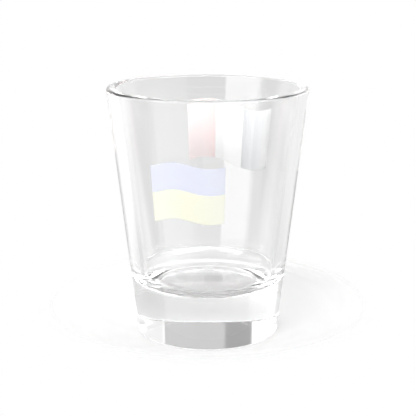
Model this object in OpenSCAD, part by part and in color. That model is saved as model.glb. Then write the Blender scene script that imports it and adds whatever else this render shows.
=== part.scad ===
// Shot glass: one pressed glass with a heavy base, and two waving flags printed on its wall.
// Millimetres. The foot stands on z = 0 with its centre at the origin, and the front faces -Y.
// Each flag is laid out as seen from outside the glass, from its left edge to its right edge.

/* [Glass] */
// Height from the table to the top of the lip
glass_h = 60; // [52:0.5:72]
// Outside diameter at the widest point of the lip
lip_d = 48.1; // [44:0.1:56]
// Thickness of the wall at the lip
lip_t = 2.4; // [1.6:0.1:3.2]
// Radius of the lip's outer and inner edges, on both sides of its flat top
lip_edge_r = 0.55; // [0.2:0.05:0.75]
// Outside diameter of the foot, before its edge is rounded
foot_d = 34.6; // [28:0.1:38]
// Radius of the edge where the foot turns up into the wall
foot_edge_r = 0.3; // [0.2:0.1:3]
// Thickness of the solid base, from the table to the floor of the cup
base_t = 12; // [6:0.5:18]
// Thickness of the wall beside the floor of the cup, measured level
floor_wall_t = 3.2; // [2:0.1:5]
// Radius of the hollow where the floor of the cup turns up into the wall
floor_edge_r = 5; // [2:0.5:9]

/* [Print] */
// Thickness of the fired ink
ink_t = 0.1; // [0.05:0.01:0.3]

/* [Front flag] */
// Width along the wall
front_w = 17.2; // [10:0.1:24]
// Height of the blue upper band
front_blue_h = 6.3; // [3:0.1:9]
// Height of the yellow lower band
front_yellow_h = 6.9; // [3:0.1:9]
// Drop from the top of the lip to the middle of the waving upper edge
front_drop = 14.6; // [8:0.1:18]
// Turn of the flag's middle from the front of the glass, to the viewer's right
front_turn = -12.5; // [-60:0.5:60]
// Height of the wave, from crest to trough
front_wave_h = 1.3; // [0.2:0.1:3]
// Where in the wave the left edge starts, as an angle from its rising middle
front_wave_start = -90; // [-180:5:180]
// Waves across the width
front_waves = 1.18; // [0.5:0.01:2]
// Crowding of the waves towards the left edge, 1 for even waves
front_wave_bunch = 0.8; // [0.5:0.01:1]

/* [Back flag] */
// Width of the blue band along the wall
back_blue_w = 9.5; // [5:0.1:12]
// Width of the white band along the wall
back_white_w = 7.9; // [5:0.1:12]
// Width of the red band along the wall
back_red_w = 7.7; // [5:0.1:12]
// Height of the bands
back_h = 15.2; // [8:0.1:18]
// Drop from the top of the lip to the middle of the waving upper edge
back_drop = 7.7; // [6:0.1:16]
// Turn of the flag's middle from the back of the glass, to the viewer's right
back_turn = -18; // [-60:0.5:60]
// Height of the wave, from crest to trough
back_wave_h = 2.8; // [0.2:0.1:4]
// Where in the wave the left edge starts, as an angle from its rising middle
back_wave_start = -180; // [-180:5:180]
// Waves across the width
back_waves = 0.92; // [0.5:0.01:2]
// Crowding of the waves towards the left edge, 1 for even waves
back_wave_bunch = 0.9; // [0.5:0.01:1]

/* [Hidden] */

// The turned surfaces are smooth, and the rounds of the profile have this many steps
$fn = 180;
lip_steps = 12;
foot_steps = 10;
floor_steps = 18;

// A waving edge has this many steps across the flag, and runs one step past both ends
edge_steps = 24;
// The film is cut from a strip of the wall that reaches this far past the crests and troughs
film_spare = 1;

// Middle points of the lip's two rounds, and the slopes of the walls that run tangent into them
lip_outer_mid = [lip_d / 2 - lip_edge_r, glass_h - lip_edge_r];
lip_inner_mid = lip_outer_mid - [lip_t - 2 * lip_edge_r, 0];
foot_corner = [foot_d / 2, 0];
outer_slope = slope_to_lip(foot_corner, lip_outer_mid, -1);
floor_corner = [wall_r(base_t) - floor_wall_t, base_t];
inner_slope = slope_to_lip(floor_corner, lip_inner_mid, 1);

// Middle points of the rounds at the foot and at the cup's floor
foot_mid = foot_corner + [-corner_run(foot_edge_r, outer_slope), foot_edge_r];
floor_mid = floor_corner + [-corner_run(floor_edge_r, inner_slope), floor_edge_r];

// Heights of the flags' level lines, and the waves as [height, start, count, crowding]
front_top = glass_h - front_drop;
front_seam = front_top - front_blue_h;
front_bottom = front_seam - front_yellow_h;
front_wave = [front_wave_h, front_wave_start, front_waves, front_wave_bunch];
back_top = glass_h - back_drop;
back_bottom = back_top - back_h;
back_wave = [back_wave_h, back_wave_start, back_waves, back_wave_bunch];
back_w = back_blue_w + back_white_w + back_red_w;
back_seam_1 = back_blue_w / back_w;
back_seam_2 = 1 - back_red_w / back_w;

// Slope of the line from a point that touches a round of the lip on its outer (-1) or inner (1) side
function slope_to_lip(point, mid, side) =
    let (to_mid = mid - point)
    atan2(to_mid.y, to_mid.x) + side * asin(lip_edge_r / norm(to_mid));

// Level distance from a corner to the middle of the round of radius r that fills it
function corner_run(r, slope) = r / tan(90 - slope / 2);

// Points of an arc round a middle point, between two angles
function arc(mid, r, from, to, steps) =
    [for (i = [0 : steps]) let (a = from + (to - from) * i / steps) mid + r * [cos(a), sin(a)]];

// Outside radius of the straight wall at height z
function wall_r(z) = foot_d / 2 + z / tan(outer_slope);

// Angle that a width along the wall takes up at height z
function wall_angle(w, z) = w / wall_r(z) * 180 / PI;

// Height of a wave at the share u of the flag's width
function wave_rise(wave, u) = wave[0] / 2 * sin(wave[1] + 360 * wave[2] * pow(max(u, 0), wave[3]));

// Points of a waving edge at level z, across a flag that takes up the given angle, seen from its front
function waving_edge(z, angle, wave) = [
    for (i = [-1 : edge_steps + 1])
        let (u = i / edge_steps, edge_z = z + wave_rise(wave, u))
        [wall_r(edge_z) * sin(angle * (u - 0.5)), edge_z]
];

function reversed(list) = [for (i = [len(list) - 1 : -1 : 0]) list[i]];

// Half section of the glass: underside, foot edge, outer wall, lip, inner wall, floor edge, floor
module glass_section() {
    polygon(concat(
        [[0, 0]],
        arc(foot_mid, foot_edge_r, -90, outer_slope - 90, foot_steps),
        arc(lip_outer_mid, lip_edge_r, outer_slope - 90, 90, lip_steps),
        arc(lip_inner_mid, lip_edge_r, 90, inner_slope + 90, lip_steps),
        arc(floor_mid, floor_edge_r, inner_slope - 90, -90, floor_steps),
        [[0, base_t]]
    ));
}

// Film of ink on the wall between two heights, from one turn to another about the front
module wall_film(low, high, from, to) {
    skin = ink_t * [sin(outer_slope), -cos(outer_slope)];
    foot_end = [wall_r(low), low];
    lip_end = [wall_r(high), high];
    rotate_extrude(angle = to - from, start = 270 + from)
        polygon([foot_end, foot_end + skin, lip_end + skin, lip_end]);
}

// One printed band of a flag, between two level lines and two shares of the flag's width
module printed_band(turn, w, mid_z, low, high, wave, from = 0, to = 1) {
    angle = wall_angle(w, mid_z);
    spare = wave[0] / 2 + film_spare;
    outline = concat(waving_edge(low, angle, wave), reversed(waving_edge(high, angle, wave)));
    rotate([0, 0, turn])
        intersection() {
            wall_film(low - spare, high + spare, angle * (from - 0.5), angle * (to - 0.5));
            rotate([90, 0, 0]) linear_extrude(height = lip_d) polygon(outline);
        }
}

module front_band(low, high) {
    mid_z = (front_top + front_bottom) / 2;
    printed_band(front_turn, front_w, mid_z, low, high, front_wave);
}

module back_band(from, to) {
    mid_z = (back_top + back_bottom) / 2;
    printed_band(180 + back_turn, back_w, mid_z, back_bottom, back_top, back_wave, from, to);
}

module glass_body() {
    color([0.93, 0.95, 0.96, 0.5]) rotate_extrude() glass_section();
}

module front_band_blue() {
    color([0.86, 0.92, 0.99]) front_band(front_seam, front_top);
}

module front_band_yellow() {
    color([1, 0.98, 0.87]) front_band(front_bottom, front_seam);
}

module back_band_blue() {
    color([0.88, 0.9, 0.95]) back_band(0, back_seam_1);
}

module back_band_white() {
    color([0.99, 0.99, 0.99]) back_band(back_seam_1, back_seam_2);
}

module back_band_red() {
    color([0.99, 0.9, 0.9]) back_band(back_seam_2, 1);
}

glass_body();
front_band_blue();
front_band_yellow();
back_band_blue();
back_band_white();
back_band_red();
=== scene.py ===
"""Looks of the shot glass: one clear pressed glass and the two waving flags printed on its wall.

Every shape is a numpy surface in metres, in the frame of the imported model: the foot stands on z = 0,
the front faces -Y, and +X is to the viewer's right.
"""

from collections import namedtuple

import bpy
import numpy as np
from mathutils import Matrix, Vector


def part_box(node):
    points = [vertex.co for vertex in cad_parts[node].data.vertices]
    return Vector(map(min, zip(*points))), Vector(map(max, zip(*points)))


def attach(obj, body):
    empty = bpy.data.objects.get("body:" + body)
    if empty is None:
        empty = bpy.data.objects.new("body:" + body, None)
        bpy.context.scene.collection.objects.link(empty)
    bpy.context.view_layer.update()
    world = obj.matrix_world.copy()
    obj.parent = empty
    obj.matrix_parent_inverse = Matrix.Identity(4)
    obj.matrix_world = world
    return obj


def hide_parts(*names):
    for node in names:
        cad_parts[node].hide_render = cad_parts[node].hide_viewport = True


bl_info = {
    "name": "Shot Glass",
    "version": (1, 0, 0),
    "blender": (4, 5, 0),
    "location": "3D View > Sidebar > Shot Glass",
    "description": "Builds a clear shot glass with two printed flags and its photo stage",
    "category": "Add Mesh",
}

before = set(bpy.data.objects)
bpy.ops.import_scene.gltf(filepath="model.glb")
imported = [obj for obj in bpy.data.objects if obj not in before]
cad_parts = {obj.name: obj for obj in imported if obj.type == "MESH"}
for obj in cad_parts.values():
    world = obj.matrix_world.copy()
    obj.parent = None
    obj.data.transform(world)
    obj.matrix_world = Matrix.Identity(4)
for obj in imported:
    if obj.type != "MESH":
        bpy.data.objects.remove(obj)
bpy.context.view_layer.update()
GLASS_LOW, GLASS_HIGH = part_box("glass_body")
# The CAD mesh reaches out a little less on some of its sides, so the lip keeps to the nearest one
GLASS_REACH = min(-GLASS_LOW.x, GLASS_HIGH.x, -GLASS_LOW.y, GLASS_HIGH.y)
MM = 0.001

# Steps round the turned surface, and along the rounds and straight runs of its profile
TURN_STEPS = 320
FOOT_STEPS = 10
LIP_STEPS = 32
TOP_STEPS = 4
FLOOR_STEPS = 40
WALL_STEPS = 24
DISC_STEPS = 6

# Steps of a printed band, across and up
BAND_COLUMNS = 72
BAND_ROWS = 20

# The fired ink stands this far off the wall, its inner face lies bonded in the wall, and it thins out
# in a quarter round of this width and this many steps along its edges
INK_THICKNESS = 0.1 * MM
INK_BOND = 0.01 * MM
INK_EDGE = 0.12 * MM
EDGE_STEPS = 4

# Pixels along a side of the photo, width of the camera's sensor in millimetres, and its nearest sight
IMAGE_SIDE = 416
SENSOR_WIDTH = 36.0
CAMERA_NEAR = 10 * MM


class GlassSettings(bpy.types.PropertyGroup):
    """Sizes and finish of the glass."""

    height: bpy.props.FloatProperty(
        name="Height", description="From the table to the top of the lip",
        default=GLASS_HIGH.z - GLASS_LOW.z, unit="LENGTH", precision=5)
    lip_diameter: bpy.props.FloatProperty(
        name="Lip Diameter", description="Outside diameter at the widest point of the lip",
        default=2 * GLASS_REACH, unit="LENGTH", precision=5)
    lip_thickness: bpy.props.FloatProperty(
        name="Lip Thickness", description="Thickness of the wall at the lip",
        default=2.4 * MM, unit="LENGTH", precision=5)
    lip_edge: bpy.props.FloatProperty(
        name="Lip Edge", description="Radius of the lip's outer and inner edges",
        default=0.55 * MM, unit="LENGTH", precision=5)
    foot_diameter: bpy.props.FloatProperty(
        name="Foot Diameter", description="Outside diameter of the foot, before its edge is rounded",
        default=34.6 * MM, unit="LENGTH", precision=5)
    foot_edge: bpy.props.FloatProperty(
        name="Foot Edge", description="Radius of the edge where the foot turns up into the wall",
        default=0.3 * MM, unit="LENGTH", precision=5)
    base_thickness: bpy.props.FloatProperty(
        name="Base Thickness", description="Solid glass from the table to the floor of the cup",
        default=12 * MM, unit="LENGTH", precision=5)
    floor_wall: bpy.props.FloatProperty(
        name="Floor Wall", description="Thickness of the wall beside the floor of the cup",
        default=3.2 * MM, unit="LENGTH", precision=5)
    floor_edge: bpy.props.FloatProperty(
        name="Floor Edge", description="Radius of the hollow where the floor turns up into the wall",
        default=5 * MM, unit="LENGTH", precision=5)
    tint: bpy.props.FloatVectorProperty(
        name="Tint", description="Colour of light that has passed through a wall",
        default=(0.986, 0.986, 0.986), subtype="COLOR", size=3, min=0, max=1)
    ior: bpy.props.FloatProperty(
        name="Index", description="Refractive index of the glass", default=1.46, min=1, max=2)
    haze: bpy.props.FloatProperty(
        name="Haze", description="Roughness of the dullest spots",
        default=0.015, min=0, max=1, subtype="FACTOR")
    waviness: bpy.props.FloatProperty(
        name="Waviness", description="Depth of the waves left by the mould",
        default=0.002 * MM, unit="LENGTH", precision=6)


class FrontFlagSettings(bpy.types.PropertyGroup):
    """Sizes and colours of the front flag, laid out as seen from outside."""

    width: bpy.props.FloatProperty(
        name="Width", description="Width along the wall",
        default=17.2 * MM, unit="LENGTH", precision=5)
    blue_height: bpy.props.FloatProperty(
        name="Blue Height", description="Height of the blue upper band",
        default=6.3 * MM, unit="LENGTH", precision=5)
    yellow_height: bpy.props.FloatProperty(
        name="Yellow Height", description="Height of the yellow lower band",
        default=6.9 * MM, unit="LENGTH", precision=5)
    drop: bpy.props.FloatProperty(
        name="Drop", description="From the top of the lip to the middle of the waving upper edge",
        default=14.6 * MM, unit="LENGTH", precision=5)
    turn: bpy.props.FloatProperty(
        name="Turn", description="Turn of the flag's middle from the front, to the viewer's right",
        default=np.radians(-12.5), subtype="ANGLE")
    wave_height: bpy.props.FloatProperty(
        name="Wave Height", description="Height of the wave from crest to trough",
        default=1.3 * MM, unit="LENGTH", precision=5)
    wave_start: bpy.props.FloatProperty(
        name="Wave Start", description="Where in the wave the left edge starts",
        default=np.radians(-90), subtype="ANGLE")
    waves: bpy.props.FloatProperty(
        name="Waves", description="Waves across the width", default=1.18)
    wave_bunch: bpy.props.FloatProperty(
        name="Wave Bunch", description="Crowding of the waves towards the left edge", default=0.8)
    fold_phase: bpy.props.FloatProperty(
        name="Fold Phase", description="Where in the wave the ink lies in shade",
        default=np.radians(164), subtype="ANGLE")
    blue: bpy.props.FloatVectorProperty(
        name="Blue", description="Ink of the upper band on a fold's bright side",
        default=(0.81, 0.83, 0.98), subtype="COLOR", size=3, min=0, max=1)
    blue_fold: bpy.props.FloatVectorProperty(
        name="Blue Fold", description="Ink of the upper band in a fold's shade",
        default=(0.79, 0.805, 0.98), subtype="COLOR", size=3, min=0, max=1)
    yellow: bpy.props.FloatVectorProperty(
        name="Yellow", description="Ink of the lower band on a fold's bright side",
        default=(1.0, 1.0, 0.82), subtype="COLOR", size=3, min=0, max=1)
    yellow_fold: bpy.props.FloatVectorProperty(
        name="Yellow Fold", description="Ink of the lower band in a fold's shade",
        default=(1.0, 0.98, 0.78), subtype="COLOR", size=3, min=0, max=1)


class BackFlagSettings(bpy.types.PropertyGroup):
    """Sizes and colours of the back flag, laid out as seen from outside."""

    blue_width: bpy.props.FloatProperty(
        name="Blue Width", description="Width of the blue band along the wall",
        default=9.5 * MM, unit="LENGTH", precision=5)
    white_width: bpy.props.FloatProperty(
        name="White Width", description="Width of the white band along the wall",
        default=7.9 * MM, unit="LENGTH", precision=5)
    red_width: bpy.props.FloatProperty(
        name="Red Width", description="Width of the red band along the wall",
        default=7.7 * MM, unit="LENGTH", precision=5)
    height: bpy.props.FloatProperty(
        name="Height", description="Height of the bands",
        default=15.2 * MM, unit="LENGTH", precision=5)
    drop: bpy.props.FloatProperty(
        name="Drop", description="From the top of the lip to the middle of the waving upper edge",
        default=7.7 * MM, unit="LENGTH", precision=5)
    turn: bpy.props.FloatProperty(
        name="Turn", description="Turn of the flag's middle from the back, to the viewer's right",
        default=np.radians(-18), subtype="ANGLE")
    wave_height: bpy.props.FloatProperty(
        name="Wave Height", description="Height of the wave from crest to trough",
        default=2.8 * MM, unit="LENGTH", precision=5)
    wave_start: bpy.props.FloatProperty(
        name="Wave Start", description="Where in the wave the left edge starts",
        default=np.radians(-180), subtype="ANGLE")
    waves: bpy.props.FloatProperty(
        name="Waves", description="Waves across the width", default=0.92)
    wave_bunch: bpy.props.FloatProperty(
        name="Wave Bunch", description="Crowding of the waves towards the left edge", default=0.9)
    fold_phase: bpy.props.FloatProperty(
        name="Fold Phase", description="Where in the wave the ink lies in shade",
        default=np.radians(3), subtype="ANGLE")
    blue: bpy.props.FloatVectorProperty(
        name="Blue", description="Ink of the blue band on a fold's bright side",
        default=(0.97, 0.98, 0.995), subtype="COLOR", size=3, min=0, max=1)
    blue_fold: bpy.props.FloatVectorProperty(
        name="Blue Fold", description="Ink of the blue band in a fold's shade",
        default=(0.60, 0.615, 0.62), subtype="COLOR", size=3, min=0, max=1)
    white: bpy.props.FloatVectorProperty(
        name="White", description="Ink of the white band",
        default=(1.0, 1.0, 0.99), subtype="COLOR", size=3, min=0, max=1)
    red: bpy.props.FloatVectorProperty(
        name="Red", description="Ink of the red band on a fold's bright side",
        default=(1.0, 0.835, 0.835), subtype="COLOR", size=3, min=0, max=1)
    red_fold: bpy.props.FloatVectorProperty(
        name="Red Fold", description="Ink of the red band in a fold's shade",
        default=(0.94, 0.80, 0.78), subtype="COLOR", size=3, min=0, max=1)


class StageSettings(bpy.types.PropertyGroup):
    """Camera, floor and light of the photo stage."""

    camera_distance: bpy.props.FloatProperty(
        name="Camera Distance", description="From the axis of the glass, level",
        default=252.1 * MM, unit="LENGTH", precision=5)
    camera_height: bpy.props.FloatProperty(
        name="Camera Height", description="Above the table",
        default=95 * MM, unit="LENGTH", precision=5)
    camera_pitch: bpy.props.FloatProperty(
        name="Camera Pitch", description="How far the camera looks down",
        default=np.radians(14.42), subtype="ANGLE")
    focal_pixels: bpy.props.FloatProperty(
        name="Focal Pixels", description="Focal length in pixels of the photo",
        default=1066, subtype="PIXEL")
    axis_pixel: bpy.props.FloatProperty(
        name="Axis Pixel", description="Column of the photo in which the axis of the glass lies",
        default=207.75, subtype="PIXEL")
    floor_radius: bpy.props.FloatProperty(
        name="Floor Radius", description="Radius of the pale round floor",
        default=48 * MM, unit="LENGTH", precision=5)
    floor_back: bpy.props.FloatProperty(
        name="Floor Back", description="From the axis of the glass back to the middle of the floor",
        default=20 * MM, unit="LENGTH", precision=5)
    floor_gap: bpy.props.FloatProperty(
        name="Floor Gap", description="Air under the foot",
        default=0.1 * MM, unit="LENGTH", precision=6)
    floor_colour: bpy.props.FloatVectorProperty(
        name="Floor Colour", description="White of the floor",
        default=(0.98, 0.98, 0.98), subtype="COLOR", size=3, min=0, max=1)
    floor_lift: bpy.props.FloatProperty(
        name="Floor Lift", description="White added to the floor as the camera sees it", default=0.09)
    light: bpy.props.FloatProperty(
        name="Light", description="Even light of the studio", default=0.78)
    key: bpy.props.FloatProperty(
        name="Key Light", description="Extra light from the front left", default=8.0)


# Panels of the studio seen in the glass: bearing from the back of the stage, positive to the right,
# and height above the horizon, both as spans in degrees with a soft edge, and brightness. A later
# panel stands before an earlier one
Panel = namedtuple("Panel", "bearing height soft level")
STUDIO_PANELS = {
    "upper room": Panel((-200, 200), (30, 100), 3, 0.2),
    "left strip light": Panel((-200, -108), (14, 37), 2, 9.4),
    "right strip light": Panel((108, 200), (14, 37), 2, 11.0),
    "backdrop": Panel((-80, 80), (-2, 60), 3, 1.25),
    "backdrop right": Panel((27, 70), (17, 44), 2, 0.93),
    "left softbox": Panel((-157, -108), (-18, 10), 1.5, 3.2),
    "right softbox": Panel((70, 152), (-3, 10), 1.5, 0.5),
    "left gap": Panel((-104, -76), (-8, 14), 1.5, 0.02),
    "camera left": Panel((-200, -157), (-3, 10), 1.5, 0.05),
    "camera right": Panel((152, 200), (-3, 10), 1.5, 0.05),
    "table front left": Panel((-200, -158), (-44, -19), 1.5, 1.05),
    "table front right": Panel((158, 200), (-44, -19), 1.5, 1.05),
    "table right": Panel((96, 158), (-44, -19), 1.5, 1.15),
    "table left": Panel((-158, -108), (-44, -20), 1.5, 1.3),
    "table side left": Panel((-108, -63), (-32, -18), 2, 0.1),
    "table side right": Panel((62, 108), (-24, -18), 2, 0.4),
    "table middle left": Panel((-12, -1.5), (-22, -9), 2, 0.865),
    "table back left": Panel((-60, -14), (-22, -9), 3, 1.08),
    "table back right": Panel((12, 62), (-20, -9), 3, 0.90),
    "dark window": Panel((-27, 26), (17, 44), 0.8, 0.60),
    "dark mullion": Panel((-26, -9), (17, 44), 1.5, 0.36),
}

# The table seen in the glass: height of its far edge and softness of that edge, in degrees, and two
# heights with its brightness below the lower and above the upper one. The room lies above the edge
TABLE_EDGE = -2.0
TABLE_EDGE_SOFT = 1.0
TABLE_SWEEP = ((-10.0, 0.815), (-8.4, 0.79))
STUDIO_ROOM = 0.75

# Direction that the key light comes from, and the power that narrows it
KEY_FROM = (-0.40, -0.80, 0.45)
KEY_FOCUS = 40.0

# Most bounces of light in all and of each kind, enough for the thick base behind two walls
LIGHT_BOUNCES = 32
DIFFUSE_BOUNCES = 16
GLOSSY_BOUNCES = 16
TRANSMISSION_BOUNCES = 24

# Share of the floor's radius at which it starts to fade, and the steps round its rim
FLOOR_FADE = 0.6
FLOOR_RIM_STEPS = 96

# Finish of the ink: spread of its mottle and roughness, depth and strength of its grain, its shine, and
# how deep light goes
INK_MOTTLE = (0.985, 1.01)
INK_ROUGHNESS = (0.38, 0.55)
INK_GRAIN = 0.01 * MM
INK_GRAIN_STRENGTH = 0.3
INK_SHINE = 0.3
INK_DEPTH = 0.03 * MM

# Noise in the finishes: its scale in the piece's space in metres, and its octaves of detail
Noise = namedtuple("Noise", "scale detail")
HAZE_NOISE = Noise(220, 2)
WAVINESS_NOISE = Noise(90, 1)
MOTTLE_NOISE = Noise(1400, 4)
ROUGHNESS_NOISE = Noise(2500, 3)
GRAIN_NOISE = Noise(6000, 2)


def joined(*runs):
    """Runs of (radius, height, normal out, normal up) rows, one after the other."""
    return np.concatenate([np.stack(np.broadcast_arrays(*run), -1) for run in runs])


def lip_middles(glass):
    """Middles of the lip's outer and inner rounds, as radius and height."""
    outer = np.array([glass.lip_diameter / 2 - glass.lip_edge, glass.height - glass.lip_edge])
    return outer, outer - np.array([glass.lip_thickness - 2 * glass.lip_edge, 0])


def slope_to_lip(glass, point, middle, side):
    """Slope of the line from a point that touches a round of the lip on its outer (-1) or inner (1)
    side: the bearing of the round's middle, plus the side times the angle whose sine is the round's
    radius over the distance."""
    to_middle = middle - point
    bearing = np.arctan2(to_middle[1], to_middle[0])
    return bearing + side * np.arcsin(glass.lip_edge / np.hypot(*to_middle))


def outer_slope(glass):
    """Slope of the outer wall, which runs from the corner of the foot to the lip's outer round."""
    lip_outer, _ = lip_middles(glass)
    return slope_to_lip(glass, np.array([glass.foot_diameter / 2, 0.0]), lip_outer, -1)


def wall_radius(glass, z):
    """Outside radius of the wall at a height: the foot's radius plus the height over the tangent of
    the slope."""
    return glass.foot_diameter / 2 + z / np.tan(outer_slope(glass))


def glass_profile(glass):
    """Half section of the glass as rows of radius, height and normal, from the middle of the
    underside round the foot, up the wall, over the lip, down the cup and to the middle of its floor.
    A round is its middle plus its radius times the cosine and sine of an angle, and a straight run
    fills in between the last point of one run and the first of the next."""
    lip_outer, lip_inner = lip_middles(glass)
    foot = np.array([glass.foot_diameter / 2, 0.0])
    base = glass.base_thickness
    floor = np.array([wall_radius(glass, base) - glass.floor_wall, base])
    outer = outer_slope(glass)
    inner = slope_to_lip(glass, floor, lip_inner, 1)
    quarter = np.pi / 2

    def corner_middle(corner, radius, slope):
        """Middle of the round that fills the corner of a level line and a line of that slope."""
        return corner + np.array([-radius * np.tan(slope / 2), radius])

    def round_run(middle, radius, first, last, steps, side=1):
        """A round between two angles, with normals away from its middle (1) or towards it (-1)."""
        angle = np.linspace(first, last, steps + 1)
        out, up = np.cos(angle), np.sin(angle)
        return middle[0] + radius * out, middle[1] + radius * up, side * out, side * up

    def straight_run(before, after, normal, steps):
        """The points between two runs, without the end points, which belong to these runs."""
        start_r, start_z = before[0][-1], before[1][-1]
        end_r, end_z = after[0][0], after[1][0]
        share = np.linspace(0, 1, steps + 1)[1:-1]
        return start_r + share * (end_r - start_r), start_z + share * (end_z - start_z), *normal

    foot_middle = corner_middle(foot, glass.foot_edge, outer)
    floor_middle = corner_middle(floor, glass.floor_edge, inner)
    facing_down, facing_up = (0.0, -1.0), (0.0, 1.0)
    facing_out = np.sin(outer), -np.cos(outer)
    facing_in = -np.sin(inner), np.cos(inner)

    underside = ([0.0], [0.0], *facing_down)
    foot_round = round_run(foot_middle, glass.foot_edge, -quarter, outer - quarter, FOOT_STEPS)
    outer_round = round_run(lip_outer, glass.lip_edge, outer - quarter, quarter, LIP_STEPS)
    inner_round = round_run(lip_inner, glass.lip_edge, quarter, inner + quarter, LIP_STEPS)
    floor_round = round_run(floor_middle, glass.floor_edge, inner - quarter, -quarter, FLOOR_STEPS, -1)
    cup_floor = ([0.0], [base], *facing_up)
    return joined(
        underside,
        straight_run(underside, foot_round, facing_down, DISC_STEPS),
        foot_round,
        straight_run(foot_round, outer_round, facing_out, WALL_STEPS),
        outer_round,
        straight_run(outer_round, inner_round, facing_up, TOP_STEPS),
        inner_round,
        straight_run(inner_round, floor_round, facing_in, WALL_STEPS),
        floor_round,
        straight_run(floor_round, cup_floor, facing_up, DISC_STEPS),
        cup_floor,
    )


def revolved(rows, steps):
    """Points, normals and faces of a turned surface. Ring i at turn t is (r cos t, r sin t, z), and
    its normal turns with it. The first and last rows lie on the axis and become poles."""
    turn = np.linspace(0, 2 * np.pi, steps, endpoint=False)
    east, north, level = np.cos(turn), np.sin(turn), np.ones(steps)
    radius, height, out, up = rows[1:-1].T

    def spread(across, along):
        return np.stack([np.outer(across, east), np.outer(across, north), np.outer(along, level)], -1)

    def with_poles(grid, along):
        poles = np.array([[0, 0, along[0]], [0, 0, along[-1]]])
        return np.concatenate([grid.reshape(-1, 3), poles])

    points = with_poles(spread(radius, height), rows[:, 1])
    normals = with_poles(spread(out, up), rows[:, 3])
    ring = np.arange(len(radius) * steps).reshape(-1, steps)
    after = np.roll(ring, -1, axis=1)
    quads = np.stack([ring[:-1], after[:-1], after[1:], ring[1:]], -1).reshape(-1, 4)
    first, last = len(points) - 2, len(points) - 1
    bottom = np.stack([np.full(steps, first), after[0], ring[0]], -1)
    top = np.stack([np.full(steps, last), ring[-1], after[-1]], -1)
    return points, normals, quads.tolist() + bottom.tolist() + top.tolist()


def add_piece(name, points, faces, material):
    """A smooth mesh object at the origin with its place in its points."""
    mesh = bpy.data.meshes.new(name)
    mesh.from_pydata(points, [], faces)
    mesh.shade_smooth()
    mesh.materials.append(material)
    piece = bpy.data.objects.new(name, mesh)
    bpy.context.scene.collection.objects.link(piece)
    return piece


def dress(piece, node):
    """The piece rides on the glass and stands in for its CAD node, which is hidden."""
    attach(piece, "root")
    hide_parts(node)


def add_band(name, slot, film, bright, fold):
    """One band of ink from its points, faces and fold shades, on its CAD node."""
    points, faces, shade = film
    piece = add_piece(name + "_ink", points, faces, ink_material(slot, bright, fold))
    piece.data.attributes.new("fold", "FLOAT", "POINT").data.foreach_set("value", shade)
    dress(piece, name)


def wave_phase(flag, share):
    """Angle along the wave at shares of the flag's width: its start plus its waves, crowded towards
    the left by a power of the share."""
    return flag.wave_start + 2 * np.pi * flag.waves * share ** flag.wave_bunch


def edge_shares(count, strip):
    """Shares of a span from 0 to 1: even steps, and the steps of a quarter round in a strip along
    each of its two ends."""
    rise = strip * (1 - np.cos(np.linspace(0, np.pi / 2, EDGE_STEPS, endpoint=False)))
    return np.concatenate([rise, np.linspace(strip, 1 - strip, count), (1 - rise)[::-1]])


def printed_band(glass, flag, turn, width, mid_z, span_up, span_across):
    """Points, faces and fold shades of one band of ink on the wall. Across the band the bearing runs
    between two shares of the flag's width, and up it the height runs between two levels, lifted by
    half the wave's height times the sine of the wave's angle. The outer face stands off the wall
    by the ink's thickness, which falls to nothing in a quarter round along the edges, and the inner
    face lies in the wall. The shade of a fold is one plus the cosine of the angle from it, halved."""
    outer = outer_slope(glass)
    low, high = span_up
    left, right = span_across
    band_width = width * (right - left)
    across = edge_shares(BAND_COLUMNS, INK_EDGE / band_width)[:, None]
    up = edge_shares(BAND_ROWS, INK_EDGE / (high - low))[None, :]
    share = left + (right - left) * across
    phase = wave_phase(flag, share)
    z = low + (high - low) * up + flag.wave_height / 2 * np.sin(phase)
    bearing = turn + width / wall_radius(glass, mid_z) * (share - 0.5) + 0 * up
    from_side = np.minimum(across, 1 - across) * band_width
    from_level = np.minimum(up, 1 - up) * (high - low)
    inset = np.clip(np.minimum(from_side, from_level) / INK_EDGE, 0, 1)
    stand = (INK_THICKNESS + INK_BOND) * np.sqrt(1 - (1 - inset) ** 2) - INK_BOND

    def on_wall(offset):
        r = wall_radius(glass, z) + offset * np.sin(outer)
        return np.stack([r * np.sin(bearing), -r * np.cos(bearing), z - offset * np.cos(outer)], -1)

    shade = (1 + np.cos(phase - flag.fold_phase)) / 2 + 0 * up
    points, faces = closed_film(on_wall(stand), on_wall(-INK_BOND))
    return points, faces, np.concatenate([shade.ravel(), shade[1:-1, 1:-1].ravel()])


def closed_film(outside, inside):
    """Two grids of points that share their borders, as one closed shell."""
    columns, rows = outside.shape[:2]
    front = np.arange(columns * rows).reshape(columns, rows)
    back = front.copy()
    back[1:-1, 1:-1] = front.size + np.arange((columns - 2) * (rows - 2)).reshape(columns - 2, rows - 2)

    def patch(grid):
        return np.stack([grid[:-1, :-1], grid[1:, :-1], grid[1:, 1:], grid[:-1, 1:]], -1).reshape(-1, 4)

    points = np.concatenate([outside.reshape(-1, 3), inside[1:-1, 1:-1].reshape(-1, 3)])
    return points, np.concatenate([patch(front), patch(back)[:, ::-1]]).tolist()


def new_material(name):
    """A new node material, with its tree and its shader."""
    material = bpy.data.materials.new(name)
    material.use_nodes = True
    return material, material.node_tree, material.node_tree.nodes["Principled BSDF"]


def plug(tree, socket, value):
    """Link an input to a socket, or set it to a plain value."""
    if isinstance(value, bpy.types.NodeSocket):
        tree.links.new(value, socket)
    else:
        socket.default_value = value


def node(tree, kind, **inputs):
    """A node of that kind with values or links on its inputs, by name, or by number after a _."""
    made = tree.nodes.new(kind)
    for name, value in inputs.items():
        plug(tree, made.inputs[int(name[1:]) if name[0] == "_" else name], value)
    return made


def math(tree, operation, *values):
    """Result of one sum on values or sockets."""
    made = tree.nodes.new("ShaderNodeMath")
    made.operation = operation
    for socket, value in zip(made.inputs, values):
        plug(tree, socket, value)
    return made.outputs[0]


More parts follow.
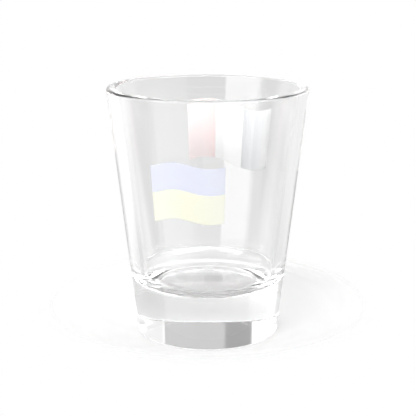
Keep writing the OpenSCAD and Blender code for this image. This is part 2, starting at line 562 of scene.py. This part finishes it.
def smooth_step(tree, value, low, high):
    """0 below low, 1 above high, and a smooth ramp between."""
    ramp = node(tree, "ShaderNodeMapRange", Value=value, **{"From Min": low, "From Max": high})
    ramp.interpolation_type = "SMOOTHSTEP"
    return ramp.outputs["Result"]


def span(tree, value, low, high, soft):
    """1 inside a span of degrees and 0 outside, with soft edges."""
    low, high, soft = np.radians((low, high, soft))
    rise = smooth_step(tree, value, low - soft, low + soft)
    fall = smooth_step(tree, value, high - soft, high + soft)
    return math(tree, "MULTIPLY", rise, math(tree, "SUBTRACT", 1.0, fall))


def blend(tree, share, under, over):
    """Under where the share is 0 and over where it is 1."""
    mixed = node(tree, "ShaderNodeMix", _0=share, _2=under, _3=over)
    mixed.data_type = "FLOAT"
    return mixed.outputs[0]


def object_noise(tree, noise):
    """Noise over the piece's own space, from 0 to 1."""
    place = tree.nodes.new("ShaderNodeTexCoord").outputs["Object"]
    made = node(tree, "ShaderNodeTexNoise", Vector=place, Scale=noise.scale, Detail=noise.detail)
    return made.outputs["Fac"]


def ramped(tree, value, low, high):
    """A value from 0 to 1 spread between two levels."""
    ramp = node(tree, "ShaderNodeMapRange", Value=value, **{"To Min": low, "To Max": high})
    return ramp.outputs["Result"]


def clear_glass_material(glass):
    """Clear fire-polished glass: a faint waviness left by the mould, and a trace of haze."""
    material, tree, shader = new_material("clear_glass")
    shader.inputs["Base Color"].default_value = (*glass.tint, 1)
    shader.inputs["Transmission Weight"].default_value = 1
    shader.inputs["IOR"].default_value = glass.ior
    haze = ramped(tree, object_noise(tree, HAZE_NOISE), 0.0, glass.haze)
    tree.links.new(haze, shader.inputs["Roughness"])
    waviness = node(tree, "ShaderNodeBump", Height=object_noise(tree, WAVINESS_NOISE),
                    Strength=1.0, Distance=glass.waviness)
    tree.links.new(waviness.outputs["Normal"], shader.inputs["Normal"])
    return material


def ink_material(name, bright, fold):
    """Fired satin ink: the flag's folds shade its colour, the screen leaves a fine mottle, and light
    from behind shows through."""
    material, tree, shader = new_material(name)
    shade = tree.nodes.new("ShaderNodeAttribute")
    shade.attribute_name = "fold"
    folded = tree.nodes.new("ShaderNodeMix")
    folded.data_type = "RGBA"
    tree.links.new(shade.outputs["Fac"], folded.inputs["Factor"])
    folded.inputs["A"].default_value = (*bright, 1)
    folded.inputs["B"].default_value = (*fold, 1)
    mottle = node(tree, "ShaderNodeHueSaturation", Color=folded.outputs["Result"],
                  Value=ramped(tree, object_noise(tree, MOTTLE_NOISE), *INK_MOTTLE))
    tree.links.new(mottle.outputs["Color"], shader.inputs["Base Color"])
    roughness = ramped(tree, object_noise(tree, ROUGHNESS_NOISE), *INK_ROUGHNESS)
    tree.links.new(roughness, shader.inputs["Roughness"])
    grain = node(tree, "ShaderNodeBump", Height=object_noise(tree, GRAIN_NOISE),
                 Strength=INK_GRAIN_STRENGTH, Distance=INK_GRAIN)
    tree.links.new(grain.outputs["Normal"], shader.inputs["Normal"])
    shader.inputs["Specular IOR Level"].default_value = INK_SHINE
    shader.inputs["Subsurface Weight"].default_value = 1
    shader.inputs["Subsurface Radius"].default_value = (1, 1, 1)
    shader.inputs["Subsurface Scale"].default_value = INK_DEPTH
    return material


def studio_world(stage):
    """The studio round the glass. The camera sees plain white, light falls evenly with a key from
    the front left, and glass shows the table, the room and the panels. The key's brightness is a
    power of the cosine of the angle from its direction."""
    world = bpy.data.worlds.new("studio")
    bpy.context.scene.world = world
    world.use_nodes = True
    tree = world.node_tree
    direction = tree.nodes.new("ShaderNodeTexCoord").outputs["Generated"]
    axes = node(tree, "ShaderNodeSeparateXYZ", Vector=direction).outputs
    bearing = math(tree, "ARCTAN2", axes["X"], axes["Y"])
    height = math(tree, "ARCSINE", axes["Z"])

    (near, near_level), (far, far_level) = TABLE_SWEEP
    table = blend(tree, smooth_step(tree, height, *np.radians((near, far))), near_level, far_level)
    edge = np.radians((TABLE_EDGE - TABLE_EDGE_SOFT, TABLE_EDGE + TABLE_EDGE_SOFT))
    seen = blend(tree, smooth_step(tree, height, *edge), table, STUDIO_ROOM)
    for panel in STUDIO_PANELS.values():
        place = math(tree, "MULTIPLY", span(tree, bearing, *panel.bearing, panel.soft),
                     span(tree, height, *panel.height, panel.soft))
        seen = blend(tree, place, seen, panel.level)

    towards = node(tree, "ShaderNodeVectorMath", _0=direction, _1=KEY_FROM)
    towards.operation = "DOT_PRODUCT"
    key_lobe = math(tree, "POWER", math(tree, "MAXIMUM", towards.outputs["Value"], 0.0), KEY_FOCUS)
    light = math(tree, "MULTIPLY_ADD", key_lobe, stage.key, stage.light)

    path = tree.nodes.new("ShaderNodeLightPath").outputs
    through = math(tree, "MAXIMUM", path["Is Transmission Ray"], path["Is Glossy Ray"])
    level = blend(tree, path["Is Camera Ray"], blend(tree, through, light, seen), 1.0)
    background = tree.nodes["Background"]
    tree.links.new(level, background.inputs["Strength"])
    background.inputs["Color"].default_value = (1, 1, 1, 1)


def floor_material(stage):
    """Matt white floor, lifted a little for the camera and fading out towards its rim, so that it
    meets the white of the backdrop."""
    material, tree, shader = new_material("pale_floor")
    shader.inputs["Base Color"].default_value = (*stage.floor_colour, 1)
    shader.inputs["Roughness"].default_value = 1
    shader.inputs["Specular IOR Level"].default_value = 0
    path = tree.nodes.new("ShaderNodeLightPath").outputs
    tree.links.new(math(tree, "MULTIPLY", path["Is Camera Ray"], stage.floor_lift),
                   shader.inputs["Emission Strength"])
    shader.inputs["Emission Color"].default_value = (1, 1, 1, 1)
    place = tree.nodes.new("ShaderNodeTexCoord").outputs["Object"]
    from_middle = node(tree, "ShaderNodeVectorMath", _0=place, _1=(0, stage.floor_back, 0))
    from_middle.operation = "DISTANCE"
    fade_start = FLOOR_FADE * stage.floor_radius
    rim = smooth_step(tree, from_middle.outputs["Value"], fade_start, stage.floor_radius)
    tree.links.new(math(tree, "SUBTRACT", 1.0, rim), shader.inputs["Alpha"])
    return material


class SHOTGLASS_OT_glass(bpy.types.Operator):
    """Turn the clear glass"""

    bl_idname = "shotglass.glass"
    bl_label = "Glass Body"

    def execute(self, context):
        glass = context.scene.shotglass_glass
        points, normals, faces = revolved(glass_profile(glass), TURN_STEPS)
        piece = add_piece("glass_body_clear", points, faces, clear_glass_material(glass))
        piece.data.normals_split_custom_set_from_vertices(normals)
        dress(piece, "glass_body")
        return {"FINISHED"}


class SHOTGLASS_OT_front_flag(bpy.types.Operator):
    """Print the blue and yellow bands of the front flag"""

    bl_idname = "shotglass.front_flag"
    bl_label = "Front Flag"

    def execute(self, context):
        glass, flag = context.scene.shotglass_glass, context.scene.shotglass_front
        top = glass.height - flag.drop
        seam = top - flag.blue_height
        bottom = seam - flag.yellow_height
        mid_z = (top + bottom) / 2
        bands = (
            ("front_band_blue", "ink_sky_blue", seam, top, flag.blue, flag.blue_fold),
            ("front_band_yellow", "ink_pale_yellow", bottom, seam, flag.yellow, flag.yellow_fold),
        )
        for name, slot, low, high, bright, fold in bands:
            film = printed_band(glass, flag, flag.turn, flag.width, mid_z, (low, high), (0, 1))
            add_band(name, slot, film, bright, fold)
        return {"FINISHED"}


class SHOTGLASS_OT_back_flag(bpy.types.Operator):
    """Print the blue, white and red bands of the back flag"""

    bl_idname = "shotglass.back_flag"
    bl_label = "Back Flag"

    def execute(self, context):
        glass, flag = context.scene.shotglass_glass, context.scene.shotglass_back
        top = glass.height - flag.drop
        bottom = top - flag.height
        mid_z = (top + bottom) / 2
        turn = np.pi + flag.turn
        width = flag.blue_width + flag.white_width + flag.red_width
        seam_1 = flag.blue_width / width
        seam_2 = 1 - flag.red_width / width
        bands = (
            ("back_band_blue", "ink_grey_blue", (0, seam_1), flag.blue, flag.blue_fold),
            ("back_band_white", "ink_white", (seam_1, seam_2), flag.white, flag.white),
            ("back_band_red", "ink_pale_red", (seam_2, 1), flag.red, flag.red_fold),
        )
        for name, slot, span_across, bright, fold in bands:
            film = printed_band(glass, flag, turn, width, mid_z, (bottom, top), span_across)
            add_band(name, slot, film, bright, fold)
        return {"FINISHED"}


class SHOTGLASS_OT_stage(bpy.types.Operator):
    """Set up the floor, the studio light and the camera"""

    bl_idname = "shotglass.stage"
    bl_label = "Stage"

    def execute(self, context):
        scene, stage = context.scene, context.scene.shotglass_stage
        scene.view_settings.view_transform = "Standard"
        scene.cycles.max_bounces = LIGHT_BOUNCES
        scene.cycles.diffuse_bounces = DIFFUSE_BOUNCES
        scene.cycles.glossy_bounces = GLOSSY_BOUNCES
        scene.cycles.transmission_bounces = TRANSMISSION_BOUNCES

        turn = np.linspace(0, 2 * np.pi, FLOOR_RIM_STEPS, endpoint=False)
        edge = np.stack([stage.floor_radius * np.cos(turn), stage.floor_radius * np.sin(turn),
                         np.full_like(turn, -stage.floor_gap)], -1)
        edge[:, 1] += stage.floor_back
        floor = add_piece("pale_floor", edge, [list(range(len(turn)))], floor_material(stage))

        studio_world(stage)

        lens = bpy.data.cameras.new("camera")
        lens.sensor_width = SENSOR_WIDTH
        lens.lens = stage.focal_pixels * SENSOR_WIDTH / IMAGE_SIDE
        lens.shift_x = (IMAGE_SIDE / 2 - stage.axis_pixel) / IMAGE_SIDE
        lens.clip_start = CAMERA_NEAR
        camera = bpy.data.objects.new("camera", lens)
        camera.location = (0, -stage.camera_distance, stage.camera_height)
        camera.rotation_euler = (np.pi / 2 - stage.camera_pitch, 0, 0)
        scene.collection.objects.link(camera)
        scene.camera = camera
        return {"FINISHED"}


class SHOTGLASS_PT_panel(bpy.types.Panel):
    """Buttons of the shot glass"""

    bl_idname = "SHOTGLASS_PT_panel"
    bl_label = "Shot Glass"
    bl_space_type = "VIEW_3D"
    bl_region_type = "UI"
    bl_category = "Shot Glass"

    def draw(self, context):
        for operator in OPERATORS:
            self.layout.operator(operator.bl_idname)


SETTINGS = {
    "shotglass_glass": GlassSettings,
    "shotglass_front": FrontFlagSettings,
    "shotglass_back": BackFlagSettings,
    "shotglass_stage": StageSettings,
}
OPERATORS = (SHOTGLASS_OT_glass, SHOTGLASS_OT_front_flag, SHOTGLASS_OT_back_flag, SHOTGLASS_OT_stage)
CLASSES = (*SETTINGS.values(), *OPERATORS, SHOTGLASS_PT_panel)


def register():
    for cls in CLASSES:
        bpy.utils.register_class(cls)
    for name, group in SETTINGS.items():
        setattr(bpy.types.Scene, name, bpy.props.PointerProperty(type=group))


def unregister():
    for name in SETTINGS:
        delattr(bpy.types.Scene, name)
    for cls in reversed(CLASSES):
        bpy.utils.unregister_class(cls)


def main():
    """Register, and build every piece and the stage."""
    register()
    bpy.ops.shotglass.glass()
    bpy.ops.shotglass.front_flag()
    bpy.ops.shotglass.back_flag()
    bpy.ops.shotglass.stage()


if __name__ == "__main__":
    main()
